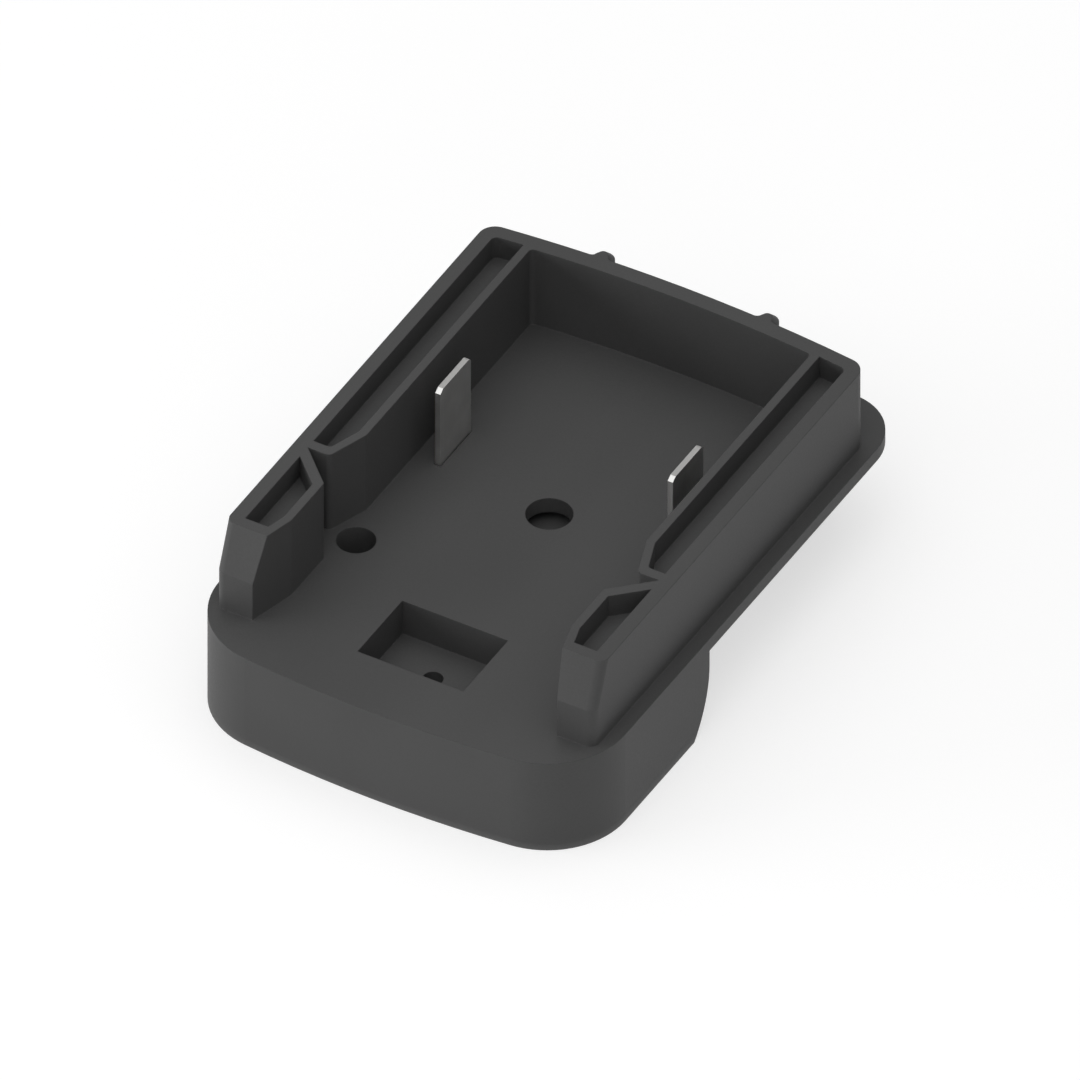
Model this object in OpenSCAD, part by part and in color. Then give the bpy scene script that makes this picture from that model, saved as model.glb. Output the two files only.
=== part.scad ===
// Battery adapter: a dock that a slide-on tool battery pushes into from the front, with two blade
// terminals, on a deep front body and a tongue that slides into the foot of a power tool.
// Millimetres. X runs across, +Y to the closed rear wall, Z up from the face that it stands on.

/* [Plate] */
// Width of the dock plate
plate_w = 66; // [64:0.5:72]
// Length of the dock plate between the crowns of its bowed ends
plate_l = 94.4; // [93:0.2:100]
// Thickness of the dock plate
plate_t = 2.2; // [1.8:0.1:2.8]
// Radius of the bowed front edge
front_bow_r = 210; // [170:5:400]
// Radius of the bowed rear edge
rear_bow_r = 252; // [180:4:400]
// Corner radius at the front
front_corner_r = 12.7; // [9:0.1:14]
// Corner radius at the rear
rear_corner_r = 8.4; // [5:0.1:10]

/* [Front body] */
// Height of the dock floor above the base
floor_h = 16.1; // [15.6:0.1:17.5]
// Length of the deep front body under the dock floor
body_l = 37.5; // [36.8:0.1:39]
// Wall of the front body and of the tongue
body_wall = 2; // [1.8:0.1:2.4]
// Radius of the shoulder at the back of the front body
shoulder_r = 17; // [15.5:0.5:24]
// Depth below the dock floor at which the shoulder starts to curve in
shoulder_drop = 4.8; // [4:0.1:8]

/* [Dock walls] */
// Height of the walls above the dock floor
wall_h = 13.9; // [12.5:0.1:18]
// Width over the two rails
rails_w = 61.6; // [60.6:0.2:63]
// Clear width between the rails
dock_w = 45.5; // [44.9:0.1:46.1]
// Distance from the front of the plate to the foot of the rail noses
nose_setback = 8.8; // [7:0.1:10]
// Distance from the rear of the plate to the rear wall
rear_ledge = 7.1; // [5.5:0.1:8.5]
// Thickness of the outer wall of a rail
outer_wall_t = 2.2; // [1.8:0.1:2.6]
// Thickness of the inner wall of a rail
inner_wall_t = 1.3; // [1:0.1:1.6]
// Thickness of the rear wall
rear_wall_t = 2.5; // [2:0.1:3]
// Radius of the bow of the rear wall
wall_bow_r = 252; // [180:4:400]
// Radius of the two rear corners of the walls
wall_corner_r = 2.6; // [2:0.1:3.6]
// How far the nose of a rail leans back over its slope
nose_run = 2.8; // [1.5:0.1:3.6]
// Height of the sloped part of a nose
nose_drop = 7.3; // [4:0.1:10]
// Radius of the outer edge of a nose
nose_edge_r = 1.4; // [0.8:0.1:2]
// Length of the lead-in flare on the dock side of a nose
flare_l = 7.5; // [5:0.1:9]
// Width of that flare at the foot of the nose
flare_w = 2; // [1:0.1:2.4]

/* [Pockets and notches] */
// Depth of the open pockets in the top of the rails
pocket_depth = 3.8; // [2.5:0.1:5]
// Thickness left under a pocket, above the hollow in the underside
pocket_floor_t = 2; // [1.4:0.1:2.6]
// Distance from the foot of a nose to the back of the latch notch
notch_back = 22.2; // [21.4:0.1:23]
// Length of the latch notch at its mouth
notch_mouth = 5.6; // [4.6:0.1:6.4]
// Length of the ramp that runs into the latch notch from behind
ramp_l = 6.4; // [5:0.1:8]
// Width of that ramp
ramp_w = 2.3; // [1.4:0.1:2.6]
// Radius of the corner where the ramp meets the latch notch
notch_corner_r = 1; // [0.5:0.1:2.4]
// Radius of the corner at the mouth of the latch notch
notch_tip_r = 0.5; // [0.2:0.1:0.8]
// Radius of the front inner corner of a long pocket
pocket_corner_r = 0.8; // [0.4:0.1:1.2]
// Wall left between a pocket and the latch notch
notch_wall_t = 1.6; // [1.2:0.1:2]
// Wall left between the front pocket and the top of the nose
nose_wall_t = 1.8; // [1.4:0.1:2.4]

/* [Rear ribs] */
// Radius of the round ribs on the back of the rear wall
rib_r = 1.7; // [1.5:0.1:2]
// Distance between the two ribs
rib_spacing = 26.6; // [16:0.2:36]
// How far the middle of a rib stands off the rear wall
rib_offset = 0.8; // [0.4:0.1:1.2]
// Chamfer round the top of a rib
rib_chamfer = 1; // [0.5:0.1:1.2]
// Angle between the flanks of a rib's foot and the wall
rib_flank = 62; // [55:1:70]
// Radius of the fillets at the foot of a rib
rib_fillet_r = 1; // [0.6:0.1:1.3]

/* [Floor] */
// Diameter of the centre hole
centre_hole_d = 6.8; // [4:0.1:8]
// Distance from the middle of the blades forward to the centre hole
hole_lead = 5.6; // [4.6:0.1:6.6]
// Thickness of the floor round the centre hole
hole_rim_t = 2.6; // [2.4:0.1:3]
// Bore of the cup that catches what falls through the centre hole
cup_d = 10.2; // [9.6:0.1:10.6]
// Depth of that cup below the dock floor
cup_depth = 4.2; // [4:0.1:7]
// Wall and floor of that cup
cup_wall = 1.1; // [0.9:0.1:1.2]
// Distance from the side of the tongue in to the side bores
side_bore_inset = 2.25; // [2:0.05:2.5]
// Distance from the front of the plate to the side bores
side_bore_y = 31; // [30.6:0.1:31.4]
// Wall of the tubes round the side bores
tube_wall = 1.3; // [1:0.1:1.6]
// Width of the catch recess
catch_w = 17.2; // [14:0.1:20]
// Length of the catch recess
catch_l = 12.6; // [11:0.1:14]
// Depth of the catch recess
catch_depth = 6.1; // [4.5:0.1:6.4]
// Distance from the front of the plate to the middle of the catch recess
catch_y = 16.7; // [15.5:0.1:18]
// Wall round and under the catch recess
catch_wall = 1.8; // [1.4:0.1:2]

/* [Tool slide] */
// Width of the neck of the tongue
tongue_w = 46; // [45.6:0.1:46.4]
// How far the lips at the foot of the tongue stand out at each side
lip_reach = 1.8; // [1.3:0.1:2.2]
// Thickness of the lips
lip_t = 3; // [2.6:0.1:4]
// Distance from the rear of the plate to the end of the tongue
tongue_setback = 6.2; // [5:0.1:8]
// Radius of the rear corners of the tongue
tongue_corner_r = 3; // [2.6:0.1:4]
// Thickness of the floor of the tool slide
slide_floor_t = 2.4; // [2.2:0.1:2.6]
// Width of the ledge in the front body that this floor seats on
ledge_w = 0.9; // [0.6:0.1:1.1]
// Play between the tool slide and the front body
slide_play = 0.15; // [0.05:0.05:0.25]

/* [Screws] */
// Thread diameter of the screws
screw_d = 2.9; // [2.6:0.1:3.1]
// Play round a thread in its pilot hole
thread_play = 0.05; // [0.02:0.01:0.1]
// Play round a screw in the piece that it clamps
screw_play = 0.3; // [0.2:0.05:0.4]
// Length of the screws that enter from below
cover_screw_l = 7; // [6:0.5:8]
// Diameter of their countersunk heads
csk_head_d = 5.8; // [5.4:0.1:6.2]
// How deep those heads are sunk
csk_sink = 0.3; // [0.1:0.1:0.5]
// Length of the screws in the side bores
dock_screw_l = 6.4; // [5.5:0.1:6.6]
// Diameter of their pan heads
pan_head_d = 5.3; // [5:0.1:5.5]
// Height of the pan heads
pan_head_h = 2; // [1.6:0.1:2.4]
// Play round a pan head in its side bore
bore_play = 0.2; // [0.1:0.05:0.3]
// Width of the cross recess in the heads
cross_w = 0.8; // [0.6:0.1:1]
// Span of the cross recess in the heads
cross_span = 2.8; // [2.2:0.1:3.2]
// Depth of the cross recess in the heads
cross_depth = 0.9; // [0.6:0.1:1.1]
// Wall of the screw bosses
boss_wall = 1.9; // [1.5:0.1:2.2]
// Distance from the side of the tongue to the rear screws
rear_screw_inset = 6; // [5.8:0.1:6.5]
// Distance from the end of the tongue to the rear screws
rear_screw_setback = 6.8; // [6.2:0.1:7.4]

/* [Blade terminals] */
// Width of a blade
blade_w = 8.6; // [7:0.1:9.4]
// Thickness of a blade
blade_t = 0.85; // [0.7:0.05:1]
// Height of a blade above the dock floor
blade_h = 13.75; // [10:0.05:14.5]
// Distance from the side of the tongue in to the middle of a blade
blade_inset = 4.1; // [4:0.1:4.5]
// Distance from the rear wall forward to the middle of the blades
blade_setback = 32.2; // [31.4:0.1:32.8]
// Length of the chamfer on the leading corner of a blade
blade_lead = 0.8; // [0.4:0.1:1.6]
// Radius of the trailing corner of a blade
blade_trail_r = 0.8; // [0.4:0.1:1.4]
// How far the seating ears stand out at each side of a blade
ear_w = 1.4; // [1:0.1:1.8]
// Height of the seating ears
ear_h = 1.6; // [1.2:0.1:1.8]
// Width of the solder tail
tail_w = 5; // [4:0.1:5.6]
// Length of the solder tail below the ears
tail_l = 5.4; // [5:0.1:6]
// Play round a blade in its slots
blade_play = 0.1; // [0.05:0.05:0.15]

/* [Terminal clamps] */
// Length of a clamp along the dock
clamp_l = 15; // [14.6:0.1:16]
// Width of a clamp across the dock
clamp_w = 11.8; // [11.4:0.1:12]
// Thickness of a clamp
clamp_t = 3; // [2.6:0.1:3.2]
// Diameter of the stakes that hold a clamp
stake_d = 2.6; // [2:0.1:2.8]
// Diameter of the spread heads of the stakes
stake_head_d = 4.4; // [4:0.1:4.6]
// Height of the spread heads
stake_head_h = 1; // [0.7:0.1:1.2]
// Distance between the two stakes of a clamp
stake_spacing = 8.4; // [7.6:0.1:9]
// Play round a stake
stake_play = 0.1; // [0.05:0.05:0.15]

/* [Output clips] */
// Distance from the side of the tongue in to the middle of a clip
clip_inset = 12; // [11.8:0.1:12.4]
// Sheet thickness of a clip
clip_t = 0.5; // [0.4:0.05:0.6]
// Length of a clip
clip_l = 10.5; // [9.5:0.1:11]
// Width of the web of a clip
clip_web_w = 7; // [6.6:0.1:7.4]
// Opening between the leaves where they pinch
clip_gap = 0.8; // [0.6:0.05:1]
// Length of the flared mouth of the leaves
clip_mouth_l = 2.8; // [2.2:0.1:3.2]
// Distance from the end of the tongue to the mouth of the clips
clip_setback = 6.5; // [5.5:0.1:7]
// Play round the web of a clip in its nest
clip_play = 0.1; // [0.05:0.05:0.15]
// Wall of the nest that holds a clip
nest_wall = 1.3; // [1:0.1:1.5]
// Height of the nest
nest_h = 8; // [6:0.1:9]
// Width of the slots that the blades of the tool enter by
slot_w = 2.4; // [2:0.1:3]
// Height of those slots
slot_h = 7.4; // [6:0.1:8]

/* [Bus strips] */
// Thickness of the strips that join the blades to the clips
strip_t = 0.6; // [0.5:0.05:0.7]
// Height of those strips
strip_h = 3.6; // [3:0.1:3.8]
// Width of the foot that lies against the web of a clip
strip_foot_w = 4; // [3:0.1:4.8]

/* [Hidden] */
$fn = 64;
far = 200;
reach = 150;

// Heights
under_z = floor_h - plate_t;
top_z = floor_h + wall_h;
pocket_z = top_z - pocket_depth;
hollow_z = pocket_z - pocket_floor_t;
catch_z = floor_h - catch_depth;
catch_under_z = catch_z - catch_wall;
cup_z = floor_h - cup_depth;

// Places along the plate
front_y = -plate_l / 2;
rear_y = plate_l / 2;
nose_y = front_y + nose_setback;
wall_y = rear_y - rear_ledge;
blades_y = wall_y - blade_setback;
body_back_y = front_y + body_l;
tongue_y = rear_y - tongue_setback;
hole_y = blades_y - hole_lead;
bore_y = front_y + side_bore_y;
recess_y = front_y + catch_y;

// Places across the dock
rail_x = rails_w / 2;
dock_x = dock_w / 2;
pocket_out_x = rail_x - outer_wall_t;
pocket_in_x = dock_x + inner_wall_t;
neck_x = tongue_w / 2;
bore_x = neck_x - side_bore_inset;
blade_x = neck_x - blade_inset;
clip_x = neck_x - clip_inset;
rear_screw_x = neck_x - rear_screw_inset;
rear_screw_y = tongue_y - rear_screw_setback;

// Latch notch, the ramp behind it and the flare in front
notch_y = nose_y + notch_back;
ramp_y = notch_y + ramp_l;
ramp_angle = atan2(ramp_w, ramp_l);
notch_angle = atan2(notch_mouth, pocket_out_x - dock_x);
flare_y = nose_y + flare_l;
flare_angle = atan2(flare_w, flare_l);
nose_lean = atan2(nose_run, nose_drop);
corner_sink = 0.01;

// Shoulder and the floor of the tool slide
curve_z = floor_h - shoulder_drop;
curve_y = body_back_y - shoulder_r;
seat_inset = body_wall - ledge_w;
seat_back_y = curve_y + sqrt(shoulder_r * shoulder_r - curve_z * curve_z) - seat_inset;

// Screws, bosses and the pillars under the side bores
pilot_d = screw_d + 2 * thread_play;
clear_d = screw_d + 2 * screw_play;
boss_d = pilot_d + 2 * boss_wall;
side_bore_d = pan_head_d + 2 * bore_play;
tube_d = side_bore_d + 2 * tube_wall;
web_t = 2;
pillar_z = 6;
bore_foot_z = pillar_z + web_t;
neck_front_y = bore_y + tube_d / 2 + slide_play;

// Terminals and clamps
clamp_z = under_z - clamp_t;
clamp_x = blade_x + blade_t / 2 + 1.3 - clamp_w;
stake_x = clamp_x + 3.4;
tail_z = under_z - ear_h - tail_l;

// Output clips: a leaf curves in to the pinch and flares out again to its mouth
clip_mouth_y = tongue_y - clip_setback;
web_y = clip_mouth_y - clip_l;
pinch_y = clip_mouth_y - clip_mouth_l;
leaf_l = pinch_y - web_y;
leaf_out = clip_web_w / 2 - 1.4 - clip_gap / 2;
leaf_r = (leaf_l * leaf_l + leaf_out * leaf_out) / (2 * leaf_out);
mouth_out = 1.3;
mouth_r = (clip_mouth_l * clip_mouth_l + mouth_out * mouth_out) / (2 * mouth_out);
clip_h = under_z - slide_floor_t - clip_play;

// Bus strips: flat beside a tail, slanting in, then flat against the web of a clip
strip_x = blade_x - blade_t / 2 - strip_t / 2;
strip_y = blades_y + tail_w / 2 + 1;
strip_turn = atan2(strip_x - clip_x, web_y - strip_t / 2 - strip_y);
strip_run = norm([strip_x - clip_x, web_y - strip_t / 2 - strip_y]);

// Colours of the pieces
housing_colour = "#4d4d4d";
slide_colour = "#474747";
blade_colour = "#d6d4ce";
clamp_colour = "#3a3a3a";
clip_colour = "#cfa878";
strip_colour = "#b87a4e";
screw_colour = "#8d8d8d";

// A strip with one bowed end and two round corners; the bow's crown is at y and way points inward
module bow_end(half_w, y, r, c, way) {
    round_y = y + way * (r - sqrt(pow(r - c, 2) - pow(half_w - c, 2)));
    lean = asin((half_w - c) / (r - c));
    difference() {
        intersection() {
            translate([0, y + way * r])
                circle(r, $fn = 720);
            translate([-half_w, way > 0 ? y : y - reach])
                square([2 * half_w, reach]);
        }
        for (side = [-1, 1])
            polygon([[side * (half_w - c), round_y],
                [side * (half_w + c), round_y],
                [side * (half_w + c), round_y - way * 2 * c],
                [side * (half_w - c + 2 * c * tan(lean)), round_y - way * 2 * c]]);
    }
    for (side = [-1, 1])
        translate([side * (half_w - c), round_y])
            circle(c);
}

// Outline of the dock plate, drawn in from its edge by inset
module plate_plan(inset = 0) {
    intersection() {
        bow_end(plate_w / 2 - inset, front_y + inset, front_bow_r - inset, front_corner_r - inset, 1);
        bow_end(plate_w / 2 - inset, rear_y - inset, rear_bow_r - inset, rear_corner_r - inset, -1);
    }
}

// Everything in front of the curved shoulder, as one block across the plate
module shoulder_block(inset = 0) {
    rotate([90, 0, 90])
        translate([0, 0, -plate_w])
            linear_extrude(2 * plate_w)
                shoulder_profile(inset);
}

// Side view of that block, with the height drawn upward
module shoulder_profile(inset) {
    translate([-far, curve_z])
        square([far + body_back_y - inset, far]);
    translate([-far, -far])
        square([far + curve_y, far + curve_z]);
    intersection() {
        translate([curve_y, curve_z])
            circle(shoulder_r - inset, $fn = 144);
        translate([curve_y, curve_z - far])
            square([far, far]);
    }
}

// The front body as a solid between two heights
module front_block(z0, z1, inset = 0) {
    intersection() {
        translate([0, 0, z0])
            linear_extrude(z1 - z0)
                plate_plan(inset);
        shoulder_block(inset);
    }
}

// Plan of the tongue from y0 to its round rear corners
module tongue_plan(half_w, y0, inset = 0) {
    x = half_w - inset;
    y = tongue_y - inset;
    r = tongue_corner_r - inset;
    translate([-x, y0])
        square([2 * x, y - r - y0]);
    translate([r - x, y0])
        square([2 * (x - r), y - y0]);
    for (side = [-1, 1])
        translate([side * (x - r), y - r])
            circle(r);
}

// Walls of the tongue: two sides and the rear end
module tongue_ring(half_w, y0) {
    difference() {
        tongue_plan(half_w, y0);
        tongue_plan(neck_x, y0 - 1, body_wall);
    }
}

// Floor of the tool slide; shrink draws it in all round
module slide_floor_plan(shrink = 0) {
    intersection() {
        plate_plan(seat_inset + shrink);
        translate([-far, -far])
            square([2 * far, far + seat_back_y - shrink]);
    }
    tongue_plan(neck_x, recess_y);
}

// One rail pocket, cut round the latch notch; back leaves out what lies in front of it
module long_pocket_plan(back = -far) {
    wall = inner_wall_t / cos(ramp_angle);
    y0 = notch_y + notch_wall_t;
    x0 = dock_x + wall + (ramp_y - y0) * tan(ramp_angle);
    difference() {
        intersection() {
            bow_end(pocket_out_x, wall_y - outer_wall_t, wall_bow_r - outer_wall_t, 1, -1);
            polygon([[pocket_in_x, wall_y],
                [pocket_in_x, ramp_y + (wall - inner_wall_t) / tan(ramp_angle)],
                [x0, y0],
                [pocket_out_x, y0],
                [pocket_out_x, wall_y]]);
            translate([0, back])
                square([far, 2 * far]);
        }
        translate([x0, y0])
            rotate((90 + ramp_angle) / 2)
                corner_shaving(90 + ramp_angle, pocket_corner_r);
    }
}

module front_pocket_plan() {
    wall = notch_wall_t / cos(notch_angle);
    slant = inner_wall_t / cos(flare_angle);
    y0 = nose_y + nose_run + nose_wall_t;
    polygon([[pocket_out_x, notch_y - wall],
        [pocket_in_x, notch_y - wall - (pocket_out_x - pocket_in_x) * tan(notch_angle)],
        [pocket_in_x, flare_y + (slant - inner_wall_t) / tan(flare_angle)],
        [dock_x + slant + (flare_y - y0) * tan(flare_angle), y0],
        [pocket_out_x, y0]]);
}

// What rounding takes off an outside corner; the corner is at the origin and points along -X
module corner_shaving(angle, r) {
    half = angle / 2;
    run = r / tan(half);
    x = run * cos(half) - 0.2 * sin(half);
    y = run * sin(half) + 0.2 * cos(half);
    difference() {
        polygon([[-0.3, 0], [x, y], [r / sin(half), 0], [x, -y]]);
        translate([r / sin(half) - corner_sink, 0])
            circle(r);
    }
}

// The clear space that the battery slides into, with its latch notches and flared mouth
module dock_plan() {
    bow_end(dock_x, wall_y - rear_wall_t, wall_bow_r - rear_wall_t, 0.8, -1);
    for (side = [0, 1])
        mirror([side, 0]) {
            polygon([[0, ramp_y],
                [dock_x, ramp_y],
                [dock_x + ramp_w, notch_y],
                [pocket_out_x, notch_y],
                [dock_x, notch_y - notch_mouth],
                [dock_x, flare_y],
                [dock_x + 2 * flare_w, flare_y - 2 * flare_l],
                [0, flare_y - 2 * flare_l]]);
            translate([dock_x + ramp_w, notch_y])
                rotate((90 + ramp_angle) / 2)
                    corner_shaving(90 + ramp_angle, notch_corner_r);
            translate([dock_x, notch_y - notch_mouth])
                rotate((notch_angle - 90) / 2)
                    corner_shaving(90 + notch_angle, notch_tip_r);
        }
}

// Straight front end of the walls, with its two outer edges rounded
module nose_plan(half_w) {
    translate([nose_edge_r - half_w, 0])
        square([2 * (half_w - nose_edge_r), reach]);
    translate([-half_w, nose_edge_r])
        square([2 * half_w, reach - nose_edge_r]);
    for (side = [-1, 1])
        translate([side * (half_w - nose_edge_r), nose_edge_r])
            circle(nose_edge_r);
}

// The walls as one solid block with sloped noses
module wall_block() {
    intersection() {
        translate([0, 0, under_z])
            linear_extrude(top_z - under_z)
                intersection() {
                    bow_end(rail_x, wall_y, wall_bow_r, wall_corner_r, -1);
                    translate([0, nose_y])
                        nose_plan(rail_x);
                }
        translate([0, nose_y, top_z - nose_drop])
            rotate([-nose_lean, 0, 0])
                translate([0, 0, -far / 2])
                    linear_extrude(far)
                        nose_plan(rail_x + 0.02);
    }
}

// The walls round the dock, with the pockets in their tops
module dock_walls() {
    difference() {
        union() {
            wall_block();
            rear_ribs();
        }
        translate([0, 0, floor_h])
            linear_extrude(wall_h + 1)
                dock_plan();
        for (side = [0, 1])
            mirror([side, 0, 0])
                translate([0, 0, pocket_z])
                    linear_extrude(pocket_depth + 1) {
                        long_pocket_plan();
                        front_pocket_plan();
                    }
    }
}

// Plan of the foot that joins a round rib to the wall, whose face is the X axis
module rib_foot_plan() {
    tip_r = 0.97 * (rib_r - rib_chamfer);
    fillet_x = (rib_offset + tip_r / cos(rib_flank)) / tan(rib_flank) + rib_fillet_r * tan(rib_flank / 2);
    flank_x = fillet_x - rib_fillet_r * sin(rib_flank);
    flank_y = rib_fillet_r * (1 - cos(rib_flank));
    tip_x = tip_r * sin(rib_flank);
    tip_y = rib_offset + tip_r * cos(rib_flank);
    difference() {
        polygon([[-fillet_x, -0.5],
            [fillet_x, -0.5],
            [fillet_x, 0],
            [flank_x, flank_y],
            [tip_x, tip_y],
            [-tip_x, tip_y],
            [-flank_x, flank_y],
            [-fillet_x, 0]]);
        for (side = [-1, 1])
            translate([side * (fillet_x - corner_sink), rib_fillet_r - corner_sink])
                circle(rib_fillet_r);
    }
}

// Round ribs with chamfered tops, up the back of the rear wall
module rear_ribs() {
    x = rib_spacing / 2;
    y = wall_y - wall_bow_r + sqrt(wall_bow_r * wall_bow_r - x * x);
    tall = top_z - under_z;
    for (side = [-1, 1])
        translate([side * x, y, under_z])
            rotate(-side * asin(x / wall_bow_r)) {
                linear_extrude(tall)
                    rib_foot_plan();
                translate([0, rib_offset, 0])
                    cylinder(h = tall - rib_chamfer, r = rib_r);
                translate([0, rib_offset, tall - rib_chamfer])
                    cylinder(h = rib_chamfer, r1 = rib_r, r2 = rib_r - rib_chamfer);
            }
}

// Hollows that run up into the rails from below
module rail_hollows() {
    for (side = [0, 1])
        mirror([side, 0, 0])
            translate([0, 0, under_z - 1])
                linear_extrude(hollow_z - under_z + 1) {
                    long_pocket_plan(body_back_y);
                    front_pocket_plan();
                }
}

// Open inside of the front body, the seat of the slide's floor and the way out for the neck
module front_cavity() {
    front_block(-1, under_z, body_wall);
    translate([0, 0, -1])
        linear_extrude(1 + slide_floor_t)
            intersection() {
                plate_plan(seat_inset);
                translate([-far, -far])
                    square([2 * far, far + seat_back_y]);
            }
    translate([-neck_x - slide_play, bore_y, -1])
        cube([tongue_w + 2 * slide_play, body_back_y + 1 - bore_y, 1 + under_z]);
}

// What hangs below the plate inside the closed body
module housing_bosses() {
    wide = catch_w + 2 * catch_wall;
    long = catch_l + 2 * catch_wall;
    translate([-wide / 2, recess_y - long / 2, catch_under_z])
        cube([wide, long, floor_h - 1 - catch_under_z]);
    translate([0, recess_y, slide_floor_t])
        cylinder(h = catch_under_z + 1 - slide_floor_t, d = boss_d);
    translate([0, hole_y, floor_h - hole_rim_t])
        cylinder(h = hole_rim_t - 1, d = cup_d - 2 * slide_play);
    for (side = [-1, 1]) {
        translate([side * bore_x, bore_y, pillar_z])
            cylinder(h = floor_h - 1 - pillar_z, d = tube_d);
        translate([side * rear_screw_x, rear_screw_y, slide_floor_t])
            cylinder(h = floor_h - 1 - slide_floor_t, d = boss_d);
        for (end = [-1, 1])
            translate([side * stake_x, blades_y + end * stake_spacing / 2, clamp_z - stake_head_h]) {
                cylinder(h = floor_h - 1 - clamp_z + stake_head_h, d = stake_d);
                cylinder(h = stake_head_h, d1 = stake_head_d - 1.2, d2 = stake_head_d);
            }
    }
}

// Holes from the dock floor down, the pilot holes and the slots for the blades
module housing_holes() {
    translate([0, hole_y, under_z - 2])
        cylinder(h = plate_t + 3, d = centre_hole_d);
    translate([-catch_w / 2, recess_y - catch_l / 2, catch_z])
        cube([catch_w, catch_l, catch_depth + 1]);
    translate([0, recess_y, slide_floor_t - 1])
        cylinder(h = catch_z + 2 - slide_floor_t, d = pilot_d);
    for (side = [-1, 1]) {
        translate([side * bore_x, bore_y, bore_foot_z])
            cylinder(h = floor_h + 1 - bore_foot_z, d = side_bore_d);
        translate([side * bore_x, bore_y, pillar_z - 1])
            cylinder(h = web_t + 2, d = clear_d);
        translate([side * rear_screw_x, rear_screw_y, slide_floor_t - 1])
            cylinder(h = cover_screw_l, d = pilot_d);
        translate([side * blade_x, blades_y, floor_h])
            cube([blade_t + 2 * blade_play, blade_w + 2 * blade_play, 2 * plate_t + 1], center = true);
    }
}

// Upper moulding: dock plate, walls and front body in one piece
module dock_housing() {
    color(housing_colour)
        difference() {
            union() {
                difference() {
                    union() {
                        translate([0, 0, under_z])
                            linear_extrude(plate_t)
                                plate_plan();
                        front_block(0, floor_h);
                        dock_walls();
                    }
                    front_cavity();
                    rail_hollows();
                }
                housing_bosses();
            }
            housing_holes();
        }
}

// Posts with a groove for each edge of a clip's web
module clip_nest() {
    post_x = clip_web_w / 2 - 0.7;
    post_w = 0.7 + clip_play + nest_wall;
    groove = clip_t + 2 * clip_play;
    difference() {
        for (side = [-1, 1])
            translate([side * (post_x + post_w / 2) - post_w / 2, web_y - nest_wall, 0])
                cube([post_w, clip_t + 2 * nest_wall, slide_floor_t + nest_h]);
        translate([-clip_web_w / 2 - clip_play, web_y - clip_play, slide_floor_t])
            cube([clip_web_w + 2 * clip_play, groove, nest_h + 1]);
    }
}

// Seat and clearance for a countersunk screw that enters from below
module csk_seat() {
    cone_h = (csk_head_d - clear_d) / 2;
    translate([0, 0, -1])
        cylinder(h = 1 + csk_sink, d = csk_head_d);
    translate([0, 0, csk_sink])
        cylinder(h = cone_h, d1 = csk_head_d, d2 = clear_d);
    translate([0, 0, csk_sink])
        cylinder(h = slide_floor_t, d = clear_d);
}

// Lower moulding: closes the front body from below and carries the tongue with its two lips
module tool_slide() {
    color(slide_colour)
        difference() {
            union() {
                linear_extrude(slide_floor_t)
                    slide_floor_plan(slide_play);
                linear_extrude(lip_t)
                    tongue_ring(neck_x + lip_reach, body_back_y + 0.3);
                linear_extrude(pillar_z)
                    tongue_ring(neck_x, bore_y - boss_d / 2);
                linear_extrude(under_z)
                    tongue_ring(neck_x, neck_front_y);
                intersection() {
                    for (side = [-1, 1])
                        translate([side * bore_x, bore_y, 0])
                            cylinder(h = pillar_z, d = boss_d);
                    translate([-neck_x, -far, 0])
                        cube([tongue_w, 2 * far, pillar_z]);
                }
                for (side = [-1, 1])
                    translate([side * clip_x, 0, 0])
                        clip_nest();
                translate([0, hole_y, 0])
                    cylinder(h = under_z, d = cup_d + 2 * cup_wall);
            }
            slide_holes();
        }
}

// Screw seats, pilot holes, slots for the tool's blades, and the cup under the centre hole
module slide_holes() {
    translate([0, recess_y, 0])
        csk_seat();
    translate([0, hole_y, cup_z])
        cylinder(h = far, d = cup_d);
    translate([0, hole_y, -1])
        cylinder(h = cup_z - cup_wall + 1, d = cup_d);
    for (side = [-1, 1]) {
        translate([side * rear_screw_x, rear_screw_y, 0])
            csk_seat();
        translate([side * bore_x, bore_y, bore_foot_z - dock_screw_l - 0.5])
            cylinder(h = far, d = pilot_d);
        translate([side * clip_x - slot_w / 2, tongue_y - body_wall - 1, slide_floor_t])
            cube([slot_w, body_wall + 2, slot_h]);
    }
}

// Right-hand blade: contact, two seating ears and a solder tail, cut from one strip
module blade() {
    y0 = -blade_w / 2;
    y1 = blade_w / 2;
    tip_z = floor_h + blade_h;
    ear_z = under_z - ear_h;
    translate([blade_x - blade_t / 2, blades_y, 0])
        rotate([90, 0, 90])
            linear_extrude(blade_t)
                difference() {
                    polygon([[y0, under_z],
                        [y0, tip_z - 0.7 * blade_lead],
                        [y0 + blade_lead, tip_z],
                        [y1, tip_z],
                        [y1, under_z],
                        [y1 + ear_w, under_z],
                        [y1 + ear_w, ear_z],
                        [tail_w / 2, ear_z],
                        [tail_w / 2, tail_z],
                        [-tail_w / 2, tail_z],
                        [-tail_w / 2, ear_z],
                        [y0 - ear_w, ear_z],
                        [y0 - ear_w, under_z]]);
                    translate([y1, tip_z])
                        rotate(-135)
                            corner_shaving(90, blade_trail_r);
                }
}

module blade_left() {
    color(blade_colour)
        mirror([1, 0, 0])
            blade();
}

module blade_right() {
    color(blade_colour)
        blade();
}

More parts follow.
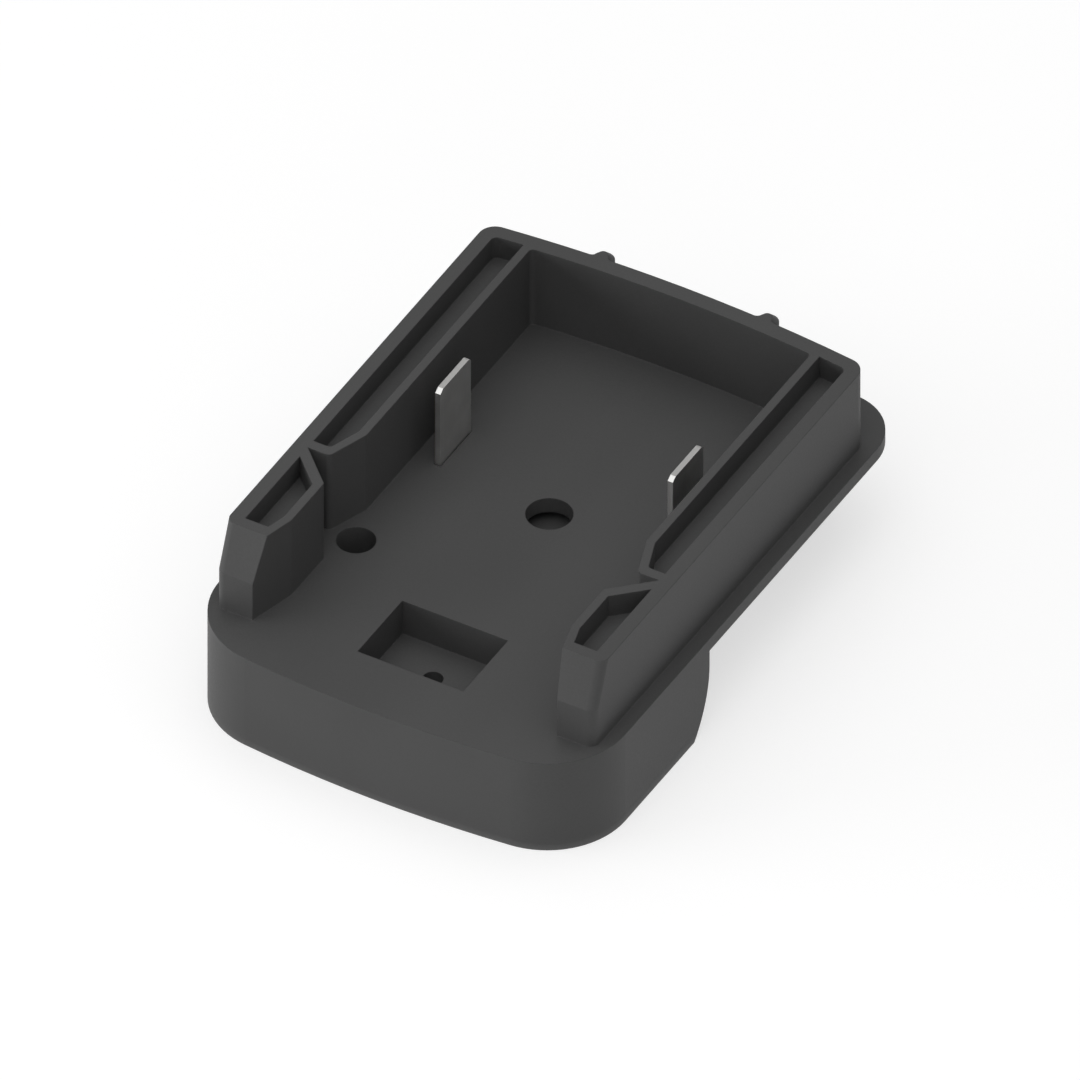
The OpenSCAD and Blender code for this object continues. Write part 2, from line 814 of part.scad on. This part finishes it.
// Right-hand clamp: holds the ears of a blade up against the plate
module clamp() {
    ears = blade_w + 2 * ear_w + 2 * blade_play;
    gap = blade_t + 2 * blade_play;
    tail = tail_w + 2 * blade_play;
    difference() {
        translate([clamp_x, blades_y - clamp_l / 2, clamp_z])
            cube([clamp_w, clamp_l, clamp_t]);
        translate([blade_x - gap / 2, blades_y - ears / 2, under_z - ear_h])
            cube([gap, ears, ear_h + 1]);
        translate([blade_x - gap / 2, blades_y - tail / 2, clamp_z - 1])
            cube([gap, tail, clamp_t + 2]);
        for (end = [-1, 1])
            translate([stake_x, blades_y + end * stake_spacing / 2, clamp_z - 1])
                cylinder(h = clamp_t + 2, d = stake_d + 2 * stake_play);
    }
}

module clamp_left() {
    color(clamp_colour)
        mirror([1, 0, 0])
            clamp();
}

module clamp_right() {
    color(clamp_colour)
        clamp();
}

// Plan of one leaf of a clip, on the far side of its middle
module leaf_plan() {
    half_gap = clip_gap / 2;
    intersection() {
        translate([half_gap + leaf_r, pinch_y])
            difference() {
                circle(leaf_r, $fn = 240);
                circle(leaf_r - clip_t, $fn = 240);
            }
        translate([0, web_y])
            square([clip_web_w / 2, leaf_l]);
    }
    intersection() {
        translate([half_gap + mouth_r, pinch_y])
            difference() {
                circle(mouth_r);
                circle(mouth_r - clip_t);
            }
        translate([0, pinch_y])
            square([clip_web_w / 2, clip_mouth_l]);
    }
}

// Spring clip that grips a blade of the tool
module clip() {
    translate([clip_x, 0, slide_floor_t])
        linear_extrude(clip_h) {
            translate([-clip_web_w / 2, web_y])
                square([clip_web_w, clip_t]);
            leaf_plan();
            mirror([1, 0])
                leaf_plan();
        }
}

module clip_left() {
    color(clip_colour)
        mirror([1, 0, 0])
            clip();
}

module clip_right() {
    color(clip_colour)
        clip();
}

// Right-hand bus strip, bent on edge from one flat strip
module strip() {
    translate([0, 0, tail_z])
        linear_extrude(strip_h) {
            translate([strip_x - strip_t / 2, strip_y - tail_w - 1])
                square([strip_t, tail_w + 1]);
            translate([strip_x, strip_y])
                rotate(strip_turn)
                    translate([-strip_t / 2, -0.2])
                        square([strip_t, strip_run + 0.2]);
            translate([clip_x - strip_foot_w / 2, web_y - strip_t])
                square([strip_foot_w, strip_t]);
        }
}

module strip_left() {
    color(strip_colour)
        mirror([1, 0, 0])
            strip();
}

module strip_right() {
    color(strip_colour)
        strip();
}

// Cross recess, cut down from the top of a head
module cross_recess() {
    for (turn = [0, 90])
        rotate([0, 0, turn])
            translate([-cross_span / 2, -cross_w / 2, -cross_depth])
                cube([cross_span, cross_w, cross_depth + 1]);
}

// The two screws that draw the tool slide up, sunk in the side bores
module dock_screws() {
    color(screw_colour)
        for (side = [-1, 1])
            translate([side * bore_x, bore_y, bore_foot_z])
                difference() {
                    union() {
                        cylinder(h = 0.6 * pan_head_h, d = pan_head_d);
                        translate([0, 0, 0.6 * pan_head_h])
                            cylinder(h = 0.4 * pan_head_h, d1 = pan_head_d, d2 = 0.7 * pan_head_d);
                        translate([0, 0, -dock_screw_l])
                            cylinder(h = dock_screw_l + 0.1, d = screw_d);
                    }
                    translate([0, 0, pan_head_h])
                        cross_recess();
                }
}

// One countersunk screw, its head down
module csk_screw() {
    cone_h = (csk_head_d - screw_d) / 2;
    difference() {
        union() {
            translate([0, 0, csk_sink])
                cylinder(h = cone_h, d1 = csk_head_d, d2 = screw_d);
            translate([0, 0, csk_sink + 0.5])
                cylinder(h = cover_screw_l - csk_sink - 0.5, d = screw_d);
        }
        translate([0, 0, csk_sink])
            mirror([0, 0, 1])
                cross_recess();
    }
}

// The three screws that hold the tool slide from below
module slide_screws() {
    color(screw_colour) {
        translate([0, recess_y, 0])
            csk_screw();
        for (side = [-1, 1])
            translate([side * rear_screw_x, rear_screw_y, 0])
                csk_screw();
    }
}

dock_housing();
tool_slide();
blade_left();
blade_right();
clamp_left();
clamp_right();
clip_left();
clip_right();
strip_left();
strip_right();
dock_screws();
slide_screws();
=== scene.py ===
"""Looks of the battery adapter: moulded plastics, plated blades and screws, on a pale floor."""

import math

import bpy
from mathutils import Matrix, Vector

# The photograph's parallel view: degrees round and down, then its width and middle in metres,
# and how far off the camera stands and sees.
PHOTO_AZIMUTH = 30.0
PHOTO_ELEVATION = 40.9
PHOTO_WIDTH = 0.15211
PHOTO_MIDDLE = Vector((0.0, -0.00033, 0.0132))
CAMERA_DISTANCE = 0.6
CAMERA_NEAR = 0.01
CAMERA_FAR = 10.0

# Base colours, as shares of red, green and blue light.
HOUSING_TONE = (0.071, 0.071, 0.071)
SLIDE_TONE = (0.064, 0.064, 0.064)
CLAMP_TONE = (0.035, 0.035, 0.036)
NICKEL_DULL = (0.83, 0.825, 0.81)
NICKEL_BRIGHT = (0.90, 0.895, 0.88)
# Darker nickel for level faces: painted shade on the blades' top edges, partly the duller cut metal.
NICKEL_CUT_AND_SHADED = (0.66, 0.655, 0.64)
BRONZE = (0.62, 0.40, 0.20)
COPPER = (0.62, 0.28, 0.15)
ZINC = (0.48, 0.49, 0.51)

# Radii in metres that sharp edges are shaded with.
MOULDED_EDGE = 0.00022
CLAMP_EDGE = 0.00012
BLADE_EDGE = 0.0001
METAL_EDGE = 0.00006

# Depths in metres of the fine grain of each surface.
MOULDED_GRAIN = 0.000012
BLADE_GRAIN = 0.0000004
METAL_GRAIN = 0.000008

# The floor's side and its drop below the adapter in metres, and its grey. The lift makes it white
# to the camera and in gloss. The resting glow lights a surface that lies within its reach.
FLOOR_SIZE = 6.0
FLOOR_DROP = 0.00005
FLOOR_TONE = 0.5
FLOOR_LIFT = 0.6
RESTING_GLOW = 0.85
RESTING_REACH = 0.002

# The strength of the light overhead, and the heights in the sky at which that light starts and
# the backdrop fades and ends, from nought at the horizon to one at the top.
OVERHEAD_STRENGTH = 1.28
OVERHEAD_FROM = 0.45
BACKDROP_FULL = 0.02
BACKDROP_END = 0.12

# The softboxes' side and the point they face, then the place of each and its power in watts.
SOFTBOX_SIZE = 0.5
SOFTBOX_AIM = Vector((0.0, 0.0, 0.01))
SOFTBOXES = {
    "front_left": ((-0.62, -0.45, 0.1), 3.45),
    "front_high": ((0.0, -0.55, 0.6), 0.66),
    "front_right": ((0.45, -0.62, 0.2), 0.92),
    "right_high": ((0.65, 0.0, 0.45), 0.17),
    "back_left": ((-0.45, 0.62, 0.15), 0.5),
    "back_right": ((0.45, 0.62, 0.15), 0.5),
}


def scaled(tone, share):
    """A colour made darker or paler by a share."""
    return tuple(c * share for c in tone)


def looking_along(direction):
    """The turn of a camera or lamp that looks along a direction."""
    return direction.to_track_quat("-Z", "Y").to_euler()


class Value:
    """A socket in a node tree that ordinary arithmetic works on."""

    def __init__(self, tree, socket):
        self.tree = tree
        self.socket = socket

    def node(self, kind, inputs=None, out=0, **settings):
        """Adds any other node; inputs maps a socket's name or number to a Value or a constant."""
        made = self.tree.nodes.new(kind)
        for key, value in settings.items():
            setattr(made, key, value)
        for key, value in (inputs or {}).items():
            if isinstance(value, Value):
                self.tree.links.new(value.socket, made.inputs[key])
            else:
                made.inputs[key].default_value = value
        return Value(self.tree, made.outputs[out])

    def maths(self, operation, *terms):
        """Adds a Math node in this value's tree that works on the terms."""
        return self.node("ShaderNodeMath", dict(enumerate(terms)), operation=operation)

    def __add__(self, other):
        return self.maths("ADD", self, other)

    __radd__ = __add__

    def __mul__(self, other):
        return self.maths("MULTIPLY", self, other)

    __rmul__ = __mul__

    def __sub__(self, other):
        return self.maths("SUBTRACT", self, other)

    def __rsub__(self, other):
        return self.maths("SUBTRACT", other, self)

    def height(self):
        """The Z part of a place or a direction."""
        return self.node("ShaderNodeSeparateXYZ", {"Vector": self}, out="Z")

    def steps(self, low, high, to_low=0.0, to_high=1.0):
        """Maps low..high smoothly to to_low..to_high and holds it outside."""
        terms = {"Value": self, "From Min": low, "From Max": high, "To Min": to_low, "To Max": to_high}
        return self.node("ShaderNodeMapRange", terms, interpolation_type="SMOOTHSTEP")

    def blend(self, first, second):
        """Mixes two colours with this value as the share of the second."""
        solid = [c if isinstance(c, Value) else (*c, 1.0) for c in (first, second)]
        return self.node("ShaderNodeMix", {0: self, 6: solid[0], 7: solid[1]}, out=2, data_type="RGBA")


class Finish:
    """A new material with one principled shader, and the place that its patterns start from."""

    def __init__(self, name):
        self.material = bpy.data.materials.new(name)
        self.material.use_nodes = True
        self.tree = self.material.node_tree
        self.shader = self.tree.nodes["Principled BSDF"]
        start = self.tree.nodes.new("ShaderNodeTexCoord")
        self.place = Value(self.tree, start.outputs["Object"])

    def noise(self, scale, detail=2.0, rough=0.5, place=None):
        """Fractal noise from 0 to 1; scale is about how many grains lie on a metre."""
        terms = {"Vector": place or self.place, "Scale": scale, "Detail": detail, "Roughness": rough}
        return self.place.node("ShaderNodeTexNoise", terms)

    def stretched(self, x, y, z):
        """The place in the object, scaled differently along each axis."""
        return self.place.node("ShaderNodeMapping", {"Vector": self.place, "Scale": (x, y, z)})

    def level(self):
        """How level the surface lies: one on a top or an underside, nought on an upright face."""
        up = self.place.node("ShaderNodeNewGeometry", out="Normal").height()
        return up.maths("ABSOLUTE", up)

    def set(self, **sockets):
        """Feeds the shader; an underscore in a name stands for a space."""
        for name, value in sockets.items():
            socket = self.shader.inputs[name.replace("_", " ")]
            if isinstance(value, Value):
                self.tree.links.new(value.socket, socket)
            elif isinstance(value, tuple):
                socket.default_value = (*value, 1.0)
            else:
                socket.default_value = value
        return self

    def relief(self, height, depth, edge):
        """Bumps the surface by height, over edges rounded by a radius."""
        rounded = self.place.node("ShaderNodeBevel", {"Radius": edge}, samples=6)
        terms = {"Height": height, "Strength": 1.0, "Distance": depth, "Normal": rounded}
        return self.set(Normal=self.place.node("ShaderNodeBump", terms))


def moulded_plastic(name, tone, edge=MOULDED_EDGE):
    """Dark moulding with a spark-eroded grain and faint flow shading."""
    f = Finish(name)
    grain = f.noise(2600.0, detail=3.0, rough=0.6)
    flow = f.noise(38.0, place=f.stretched(1.0, 0.35, 1.0))
    shade = flow.steps(0.3, 0.7, 0.965, 1.035) * grain.steps(0.2, 0.8, 0.96, 1.04)
    f.set(Base_Color=shade.steps(0.92, 1.08).blend(scaled(tone, 0.9), scaled(tone, 1.1)))
    f.set(Roughness=grain.steps(0.2, 0.8, 0.52, 0.64), Specular_IOR_Level=0.35)
    return f.relief(grain, MOULDED_GRAIN, edge).material


def plated_blade(name):
    """Nickel strip with a grain drawn up its faces; every level face is painted darker, as painted
    shade on the top edges that also stands for duller cut metal.
    """
    f = Finish(name)
    drawn = f.noise(2400.0, detail=3.0, place=f.stretched(1.0, 1.0, 0.04))
    face = f.noise(260.0).steps(0.3, 0.7).blend(NICKEL_DULL, NICKEL_BRIGHT)
    # Level faces, the top edges and the underside, take the darker nickel: painted shade, partly
    # duller cut metal.
    cut_and_shaded_level = f.level().steps(0.85, 0.97)
    f.set(Base_Color=cut_and_shaded_level.blend(face, NICKEL_CUT_AND_SHADED))
    f.set(Metallic=1.0, Roughness=drawn.steps(0.25, 0.75, 0.35, 0.42))
    return f.relief(drawn, BLADE_GRAIN, BLADE_EDGE).material


def plain_metal(name, tone, rough):
    """Plated or bare metal with a fine irregular grain."""
    f = Finish(name)
    grain = f.noise(1400.0, detail=4.0, rough=0.65)
    dull = f.noise(120.0)
    f.set(Base_Color=dull.steps(0.3, 0.7).blend(scaled(tone, 0.88), tone))
    f.set(Metallic=1.0, Roughness=grain.steps(0.25, 0.75, rough - 0.06, rough + 0.08))
    return f.relief(grain, METAL_GRAIN, METAL_EDGE).material


def dress(frame):
    """Gives each CAD piece its finish; the shapes stay as packed."""
    housing = moulded_plastic("housing_plastic", HOUSING_TONE)
    slide = moulded_plastic("slide_plastic", SLIDE_TONE)
    clamp = moulded_plastic("clamp_plastic", CLAMP_TONE, CLAMP_EDGE)
    blades = plated_blade("blade_metal")
    finishes = {
        "dock_housing": housing,
        "tool_slide": slide,
        "blade_left": blades,
        "blade_right": blades,
        "clamp_left": clamp,
        "clamp_right": clamp,
        "clip_left": plain_metal("clip_metal", BRONZE, 0.34),
        "strip_left": plain_metal("strip_copper", COPPER, 0.36),
        "dock_screws": plain_metal("screw_steel", ZINC, 0.33),
    }
    same = {"clip_right": "clip_left", "strip_right": "strip_left", "slide_screws": "dock_screws"}
    for name, piece in frame["nodes"].items():
        piece.data.materials.clear()
        piece.data.materials.append(finishes[same.get(name, name)])


def ray(value, *kinds):
    """One for a ray of any of these kinds and nought for others; value gives the node tree."""
    flags = [value.node("ShaderNodeLightPath", out=f"Is {kind} Ray") for kind in kinds]
    found = flags.pop()
    for flag in flags:
        found = found.maths("MAXIMUM", found, flag)
    return found


def pale_floor():
    """A wide floor: white from above, clear from below, and lighting only what rests on it."""
    bpy.ops.mesh.primitive_plane_add(size=FLOOR_SIZE, location=(0.0, 0.0, -FLOOR_DROP))
    floor = bpy.context.object
    floor.name = "floor"
    f = Finish("floor_white")
    near = f.place.node("ShaderNodeLightPath", out="Ray Length")
    resting = near.steps(RESTING_REACH / 2.0, RESTING_REACH, RESTING_GLOW, 0.0)
    glow = resting + (FLOOR_LIFT - resting) * ray(near, "Camera", "Glossy", "Transmission")
    f.set(Base_Color=(FLOOR_TONE,) * 3, Roughness=0.9, Specular_IOR_Level=0.1)
    f.set(Emission_Color=glow, Emission_Strength=1.0)
    under = f.place.node("ShaderNodeNewGeometry", out="Backfacing")
    clear = f.place.node("ShaderNodeBsdfTransparent")
    solid = Value(f.tree, f.shader.outputs[0])
    both = f.place.node("ShaderNodeMixShader", {0: under, 1: solid, 2: clear})
    f.tree.links.new(both.socket, f.tree.nodes["Material Output"].inputs["Surface"])
    floor.data.materials.append(f.material)


def studio_sky():
    """A wide soft patch of light overhead, and a white backdrop that gloss shows near the horizon."""
    world = bpy.data.worlds.new("studio_sky")
    bpy.context.scene.world = world
    world.use_nodes = True
    tree = world.node_tree
    start = tree.nodes.new("ShaderNodeTexCoord")
    height = Value(tree, start.outputs["Generated"]).height()
    backdrop = height.steps(BACKDROP_FULL, BACKDROP_END, 1.0, 0.0)
    light = height.steps(OVERHEAD_FROM, 1.0) * OVERHEAD_STRENGTH
    light = light + backdrop * ray(height, "Glossy", "Transmission")
    shown = light.maths("MAXIMUM", light, ray(height, "Camera"))
    tree.links.new(shown.socket, tree.nodes["Background"].inputs["Strength"])
    tree.nodes["Background"].inputs["Color"].default_value = (1.0, 1.0, 1.0, 1.0)


def softbox(name, place, power):
    """A square area light turned toward the object."""
    data = bpy.data.lights.new(name, "AREA")
    data.shape = "SQUARE"
    data.size = SOFTBOX_SIZE
    data.energy = power
    lamp = bpy.data.objects.new(name, data)
    lamp.location = place
    lamp.rotation_euler = looking_along(SOFTBOX_AIM - Vector(place))
    bpy.context.scene.collection.objects.link(lamp)


def photo_camera():
    """The parallel view that the photograph was solved as."""
    azimuth = math.radians(PHOTO_AZIMUTH)
    elevation = math.radians(PHOTO_ELEVATION)
    level = math.cos(elevation)
    back = Vector((math.sin(azimuth) * level, -math.cos(azimuth) * level, math.sin(elevation)))
    data = bpy.data.cameras.new("camera")
    data.type = "ORTHO"
    data.ortho_scale = PHOTO_WIDTH
    data.clip_start = CAMERA_NEAR
    data.clip_end = CAMERA_FAR
    camera = bpy.data.objects.new("camera", data)
    camera.location = PHOTO_MIDDLE + back * CAMERA_DISTANCE
    camera.rotation_euler = looking_along(-back)
    bpy.context.scene.collection.objects.link(camera)
    bpy.context.scene.camera = camera


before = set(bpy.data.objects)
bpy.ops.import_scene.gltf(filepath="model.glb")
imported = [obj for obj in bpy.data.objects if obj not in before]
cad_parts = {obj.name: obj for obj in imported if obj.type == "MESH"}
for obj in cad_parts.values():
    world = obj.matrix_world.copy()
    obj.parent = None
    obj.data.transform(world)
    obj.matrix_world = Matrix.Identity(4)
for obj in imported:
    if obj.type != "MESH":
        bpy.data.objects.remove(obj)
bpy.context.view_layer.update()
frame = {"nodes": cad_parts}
dress(frame)
pale_floor()
studio_sky()
for name, (place, power) in SOFTBOXES.items():
    softbox(name, place, power)
photo_camera()
bpy.context.scene.view_settings.view_transform = "Standard"
